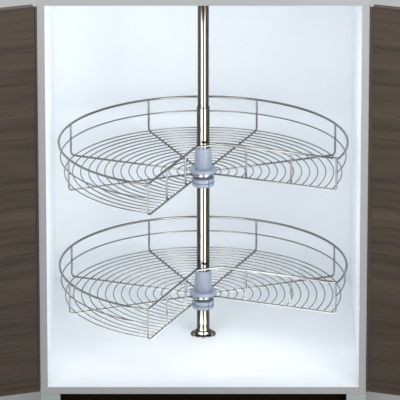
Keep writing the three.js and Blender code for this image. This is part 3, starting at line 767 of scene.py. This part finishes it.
def make_hub_sleeve(tray):
    """A thick flange, an undercut neck and a tapered sleeve with a recess in its mouth."""
    flange, foot, top = turned_box(tray + "_hub")
    flange_top = foot + HUB_FLANGE
    neck, neck_top = SLEEVE_FOOT - NECK_DEPTH, flange_top + NECK_HEIGHT
    edge = (flange - HUB_FLANGE_EDGE, flange_top - HUB_FLANGE_EDGE)
    profile = [(HUB_BORE, foot), (flange - HUB_FLANGE_FOOT, foot), (flange, foot + HUB_FLANGE_FOOT)]
    profile += rounded(edge, HUB_FLANGE_EDGE, 0, 90)
    profile += [(SLEEVE_FOOT, flange_top), (neck, flange_top - NECK_SINK), (neck, neck_top)]
    profile += [(SLEEVE_FOOT - inset, neck_top + rise) for inset, rise in NECK_SHOULDER]
    profile += rounded((SLEEVE_TOP - SLEEVE_LIP, top - SLEEVE_LIP), SLEEVE_LIP, 0, 90)
    profile += [(MOUTH_TOP, top), (MOUTH_FOOT, top - MOUTH_DEPTH), (HUB_BORE, top - MOUTH_DEPTH)]
    sleeve = Shape().turned(profile)
    make_piece(tray + "_hub_sleeve", sleeve, HUB_PLASTIC, tray, [tray + "_hub"])


def make_bearing(tray):
    """The ring that the hub turns on, with a groove round its waist."""
    outer, foot, top = turned_box(tray + "_bearing")
    profile = [(HUB_BORE, foot), (outer - BEARING_EDGE, foot), (outer, foot + BEARING_EDGE)]
    profile += groove(outer, (foot + top) / 2, *BEARING_GROOVE)
    profile += [(outer, top - BEARING_EDGE), (outer - BEARING_EDGE, top), (HUB_BORE, top)]
    ring = Shape().turned(profile)
    make_piece(tray + "_bearing_ring", ring, BEARING_PLASTIC, tray + "_support",
               [tray + "_bearing"])


def make_collar(tray):
    """The clamp collar, with a groove round its waist and a slot through one side."""
    outer, foot, top = turned_box(tray + "_collar")
    foot_edge = (outer - COLLAR_FOOT_EDGE, foot + COLLAR_FOOT_EDGE)
    top_edge = (outer - COLLAR_TOP_EDGE, top - COLLAR_TOP_EDGE)
    profile = [(COLLAR_BORE, foot), *rounded(foot_edge, COLLAR_FOOT_EDGE, -90, 0)]
    profile += groove(outer, (foot + top) / 2, *COLLAR_GROOVE)
    profile += [*rounded(top_edge, COLLAR_TOP_EDGE, 0, 90), (COLLAR_BORE, top)]
    collar = Shape().split(profile, COLLAR_SPLIT, COLLAR_SLOT / outer)
    make_piece(tray + "_clamp_collar", collar, HUB_PLASTIC, tray + "_support",
               [tray + "_collar"])


def make_tray(tray):
    axis = tray_axis(tray)
    height = rim_height(tray)
    make_rim(tray, axis, height)
    make_rail(tray, axis, height)
    make_rail_uprights(tray, axis, height)
    make_middle_wire(tray, axis)
    make_ribs(tray, axis, height)
    make_floor_wires(tray, axis)
    make_weld_ring(tray)
    make_hub_sleeve(tray)
    make_bearing(tray)
    make_collar(tray)
    make_socket_screw(tray + "_clamp_bolt", tray + "_clamp_screw", tray + "_support")


# ---- Pole and screws ----------------------------------------------------------------------------

def make_socket_screw(name, node, body):
    """A socket screw along y, from its tip on the tube to its head."""
    low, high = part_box(node)
    middle = (low + high) / 2
    head = (high.x - low.x) / 2
    neck = high.y - BOLT_HEAD
    rows = [(BOLT_SHANK * BOLT_TIP_SHARE, low.y), (BOLT_SHANK, low.y + BOLT_TIP)]
    rows += [(BOLT_SHANK, neck), (head, neck), (head, high.y - BOLT_HEAD_EDGE)]
    rows += [(head - BOLT_HEAD_EDGE, high.y)]
    rows += [(hexagon(HEX_TOP), high.y), (hexagon(HEX_FOOT), high.y - HEX_DEPTH)]
    place = Matrix.Translation((middle.x, 0, middle.z)) @ Matrix.Rotation(-math.pi / 2, 4, "X")
    screw = Shape().spun(rows, place, BOLT_SIDES)
    make_piece(name, screw, STEEL, body, [node], sharp=SHARP_SCREW)


def make_wood_screw(name, node, up):
    """A pan-head screw with a cross recess. Its head is above its tip where `up` is 1."""
    low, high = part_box(node)
    middle = (low + high) / 2
    head = (high.x - low.x) / 2
    length = high.z - low.z
    rows = [(SCREW_POINT, length), *((SCREW_SHANK * share, length - rise) for share, rise in SCREW_TAPER)]
    rows += [(SCREW_SHANK, SCREW_HEAD), (head, SCREW_HEAD)]
    rows += [(head * share, depth) for share, depth in SCREW_DOME]
    rows += [(cross(head * share, half_arm), depth) for share, depth, half_arm in (CROSS_TOP, CROSS_FOOT)]
    top = high.z if up > 0 else low.z
    place = Matrix.Translation((middle.x, middle.y, top)) @ Matrix.Diagonal((1, 1, -up, 1))
    make_piece(name, Shape().spun(rows, place), STEEL, "cabinet", [node], sharp=SHARP_SCREW)


def make_tube(name, node, body):
    """One of the pole's tubes, with its outer edges eased."""
    outer, foot, top = turned_box(node)
    inner = outer - TUBE_WALL
    lip_edge = (outer - TUBE_LIP, top - TUBE_LIP)
    profile = [(inner, foot), (outer - TUBE_LIP, foot), (outer, foot + TUBE_LIP)]
    profile += [*rounded(lip_edge, TUBE_LIP, 0, 90, TUBE_LIP_STEPS), (inner, top)]
    make_piece(name, Shape().turned(profile), NICKEL, body, [node])


def make_pole_flange(name, node, tube_node, up):
    """A pressed flange with a rolled edge and a raised socket. `up` is 1 on the floor, -1 above."""
    outer, low, high = turned_box(node)
    bore = turned_box(tube_node)[0] + FLANGE_CLEARANCE
    socket, tall = bore + SOCKET_WALL, high - low
    rim = (outer - FLANGE_RIM, FLANGE_RIM_EDGE)
    fillet = (socket + FLANGE_FILLET, FLANGE_PLATE + FLANGE_FILLET)
    edge = (socket - SOCKET_EDGE, tall - SOCKET_EDGE)
    profile = [(FLANGE_PINHOLE, 0), (outer, 0), *rounded(rim, FLANGE_RIM_EDGE, 0, 90)]
    profile += [(fillet[0] + FLANGE_SLOPE, FLANGE_PLATE), *rounded(fillet, FLANGE_FILLET, 270, 180)]
    profile += [*rounded(edge, SOCKET_EDGE, 0, 90), (bore, tall), (bore, FLANGE_PLATE)]
    profile += [(FLANGE_PINHOLE, FLANGE_PLATE)]
    base = low if up > 0 else high
    flange = Shape().turned([(r, base + up * z) for r, z in profile])
    make_piece(name, flange, NICKEL, "cabinet", [node])


def make_pole():
    make_tube("pole_outer_tube", "pole_lower_tube", "cabinet")
    make_tube("pole_inner_tube", "pole_upper_tube", "pole_extension")
    make_pole_flange("pole_foot_flange", "pole_base_flange", "pole_lower_tube", 1)
    make_pole_flange("pole_head_flange", "pole_top_flange", "pole_upper_tube", -1)
    for i in range(1, FLANGE_SCREWS + 1):
        make_wood_screw(f"foot_flange_screw_{i}", f"base_flange_screw_{i}", 1)
        make_wood_screw(f"head_flange_screw_{i}", f"top_flange_screw_{i}", -1)
    make_socket_screw("pole_lock_bolt", "pole_lock_screw", "cabinet")


# ---- Carcass ------------------------------------------------------------------------------------

def make_boxed(name, node, bevel, material, slot):
    low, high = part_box(node)
    make_board(name, low, high, bevel, material, "cabinet", slot, [node])


def make_carcass():
    for part in ("side_panel_left", "side_panel_right", "bottom_panel", "top_panel", "back_panel"):
        make_boxed(part + "_board", part, BOARD_BEVEL, WHITE_BOARD, "white_board")
    for part in ("left", "right", "bottom", "top"):
        make_boxed("front_band_" + part, "edge_band_" + part, BAND_BEVEL, GREY_EDGE, "grey_edge")
    for part in ("front_left", "front_right", "rear_left", "rear_right", "centre"):
        make_boxed("foot_block_" + part, "foot_" + part, FOOT_BEVEL, FOOT_GREY, "grey_foot")
    # Its near-black colour is partly the board's own dark finish and partly painted shade of the recess
    make_boxed("recess_board", "plinth_board", BOARD_BEVEL, DARK_BOARD_AND_PAINTED_SHADE, "dark_board")


# ---- Doors --------------------------------------------------------------------------------------

# Profiles of radius and height over the door's face, in mm
KNOB = [(6, 0), (6, 1), (5.1, 2.4), (5.1, 10.5), (6, 12.8), (10, 15), (13.2, 17.6), (14, 19.6), (14, 22.6)]
KNOB += [*rounded((11.2, 23.2), 2.8, 10, 90), (6, 25.7), (1, 25.6)]
PAD = [(4, 0), (4, 1.1), (3.6, 1.7), (2.7, 2), (0.8, 2.1)]


def door_place(side, sign):
    """The matrix from a door's own frame to the cabinet's. `sign` is -1 on the left, 1 on the right."""
    hinge = next(j for j in frame["joints"] if j["name"] == side + "_door_hinge")
    pin = Vector(hinge["pos_m"])
    place = Matrix.Translation((pin.x, pin.y, 0)) @ Matrix.Rotation(sign * DOOR_OPEN, 4, "Z")
    return place @ Matrix.Diagonal((-sign, 1, 1, 1))


def make_door(side, sign):
    """A veneered core with four edge bands, a knob outside and a bumper inside."""
    body = side + "_door"
    place = door_place(side, sign)
    low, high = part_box(body + "_panel")
    bottom, top = low.z, high.z
    start, end = DOOR_START + DOOR_BAND, DOOR_END - DOOR_BAND
    foot, head = bottom + DOOR_BAND, top - DOOR_BAND
    core = [(start, DOOR_OUTER, foot), (end, DOOR_INNER, head)]
    make_board(body + "_core", *core, DOOR_CORE_BEVEL, WOOD, body, "dark_wood", [body + "_panel"], place)
    bands = {
        "hinge": (DOOR_START, start, bottom, top),
        "free": (end, DOOR_END, bottom, top),
        "foot": (start, end, bottom, foot),
        "head": (start, end, head, top),
    }
    for name, (from_x, to_x, from_z, to_z) in bands.items():
        band = [(from_x, DOOR_OUTER, from_z), (to_x, DOOR_INNER, to_z)]
        make_board(f"{body}_{name}_band", *band, DOOR_BAND_BEVEL, DOOR_EDGE, body, "grey_edge", place=place)
    knob_seat = Matrix.Translation((DOOR_END - KNOB_INSET, DOOR_OUTER - SEAT_GAP, top - KNOB_DROP))
    make_door_fitting(body + "_handle", KNOB, place @ knob_seat, 90, STEEL, body, body + "_knob")
    low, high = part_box(body + "_bumper")
    pad_seat = Matrix.Translation((DOOR_END - PAD_INSET, DOOR_INNER + SEAT_GAP, (low.z + high.z) / 2))
    make_door_fitting(body + "_pad", PAD, place @ pad_seat, -90, RUBBER, body, body + "_bumper")


def make_door_fitting(name, profile, seat, turn, material, body, node):
    """A turned fitting that stands on a door's face, outwards where the turn in degrees is positive."""
    place = seat @ Matrix.Rotation(math.radians(turn), 4, "X")
    shape = Shape().spun([(r * MM, h * MM) for r, h in profile], place)
    make_piece(name, shape, material, body, [node], sharp=SHARP_FITTING)


# ---- CAD pieces that stay -----------------------------------------------------------------------

def give_cad_materials():
    """The clips and hinges keep their CAD shape and get the finished materials."""
    finishes = {"steel": STEEL, "dark_steel": DARK_STEEL}
    for name, node in frame["nodes"].items():
        material = finishes.get(CAD_SLOTS[name])
        if material is not None:
            node.data.materials.clear()
            node.data.materials.append(material)


# ---- Stage --------------------------------------------------------------------------------------

def aimed(direction):
    """The rotation that turns a camera or a lamp to look along a direction."""
    return direction.to_track_quat("-Z", "Y").to_euler()


def make_camera():
    data = bpy.data.cameras.new("camera")
    data.lens = CAMERA_LENS
    data.clip_end = VIEW_REACH
    camera = new_object("camera", data)
    back = Vector((0, -math.cos(CAMERA_PITCH), math.sin(CAMERA_PITCH)))
    camera.location = Vector((AIM_X, 0, AIM_Z)) + back * CAMERA_DISTANCE
    camera.rotation_euler = aimed(-back)
    bpy.context.scene.camera = camera


def make_floor():
    mesh = bpy.data.meshes.new("floor")
    half = FLOOR_HALF
    corners = [(-half, -half, 0), (half, -half, 0), (half, half, 0), (-half, half, 0)]
    mesh.from_pydata(corners, [], [(0, 1, 2, 3)])
    floor = new_object("floor", mesh)
    floor.location.z = -FLOOR_DROP
    floor.data.materials.append(board_material("floor_pale", (0.66, 0.66, 0.64), 0.6, 60))


def make_lamp(name, place, aim, size, power, colour=(1, 1, 1)):
    data = bpy.data.lights.new(name, "AREA")
    data.shape = "RECTANGLE"
    data.size, data.size_y = size
    data.energy = power
    data.color = colour
    lamp = new_object(name, data)
    lamp.location = place
    lamp.rotation_euler = aimed(Vector(aim) - Vector(place))
    lamp.visible_camera = False
    return lamp


def glow_power(glow, size):
    """The power that gives a lamp of a given size a given brightness."""
    return glow * math.pi * size[0] * size[1]


def make_world():
    world = bpy.data.worlds.new("world")
    bpy.context.scene.world = world
    world.use_nodes = True
    background = world.node_tree.nodes["Background"]
    background.inputs["Color"].default_value = WORLD_COLOUR
    background.inputs["Strength"].default_value = WORLD_LEVEL


def make_fill():
    """A lamp in the cabinet's opening that shines in."""
    low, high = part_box("back_panel")
    middle = (low.z + high.z) / 2 + FILL_LIFT
    fill = make_lamp("fill", (0, FILL_Y, middle), (0, 0, middle), FILL_SIZE, FILL_POWER, FILL_COLOUR)
    fill.visible_glossy = False
    fill.light_linking.receiver_collection = NO_FILL


def make_strip(name, start, end):
    """Two lamps before the cabinet, between two bearings from the pole: one is for the pole and its
    flanges, the other for the wires and hubs."""
    left, right = (-STRIP_Y * math.tan(a) for a in (start, end))
    x, middle = (left + right) / 2, STRIP_HEIGHT / 2
    place, aim, size = (x, STRIP_Y, middle), (x, 0, middle), (right - left, STRIP_HEIGHT)
    strip = make_lamp(name + "_pole", place, aim, size, glow_power(STRIP_GLOW, size), STRIP_COLOUR)
    strip.light_linking.receiver_collection = BRIGHT_METAL
    strip = make_lamp(name + "_wire", place, aim, size, glow_power(WIRE_GLOW, size), WIRE_COLOUR)
    strip.light_linking.receiver_collection = WIRES_AND_HUBS
    strip.visible_diffuse = False


def on_the_floor():
    """The height of the lamps that lie on the cabinet's floor."""
    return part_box("bottom_panel")[1].z + LAMP_LIFT


def make_strip_feet(name, start, end):
    """Two lamps that lie on the cabinet's floor between the same bearings, for the pole's foot."""
    bearing = (start + end) / 2
    for i, (near, far) in enumerate(STRIP_FEET):
        reach = (near + far) / 2
        size = (reach * (end - start), far - near)
        power = glow_power(STRIP_GLOW, size)
        foot = make_lamp(f"{name}_foot_{i}", (0, 0, 0), (0, 0, 1), size, power, STRIP_COLOUR)
        foot.location = (reach * math.sin(bearing), -reach * math.cos(bearing), on_the_floor())
        foot.rotation_euler = (math.pi, 0, bearing)
        foot.light_linking.receiver_collection = BRIGHT_METAL


def make_low_lamp():
    """A lamp for the wires alone that lies on the cabinet's floor and brightens the lower tray."""
    place = Vector((0, LOW_Y, on_the_floor()))
    power = glow_power(LOW_GLOW, LOW_SIZE)
    lamp = make_lamp("low_wire", place, place + Vector((0, 0, 1)), LOW_SIZE, power, WIRE_COLOUR)
    lamp.light_linking.receiver_collection = WIRES
    lamp.visible_diffuse = False


def make_lights():
    make_world()
    for name, (place, aim, size, power) in LAMPS.items():
        make_lamp(name, place, aim, size, power)
    make_fill()
    for name, bearings in STRIPS.items():
        start, end = (math.radians(b) for b in bearings)
        make_strip(name, start, end)
        make_strip_feet(name, start, end)
    make_low_lamp()


make_camera()
make_floor()
make_lights()
give_cad_materials()
for tray_name in TRAYS:
    make_tray(tray_name)
make_pole()
make_carcass()
make_door("left", -1)
make_door("right", 1)

bpy.context.scene.view_settings.view_transform = "Standard"
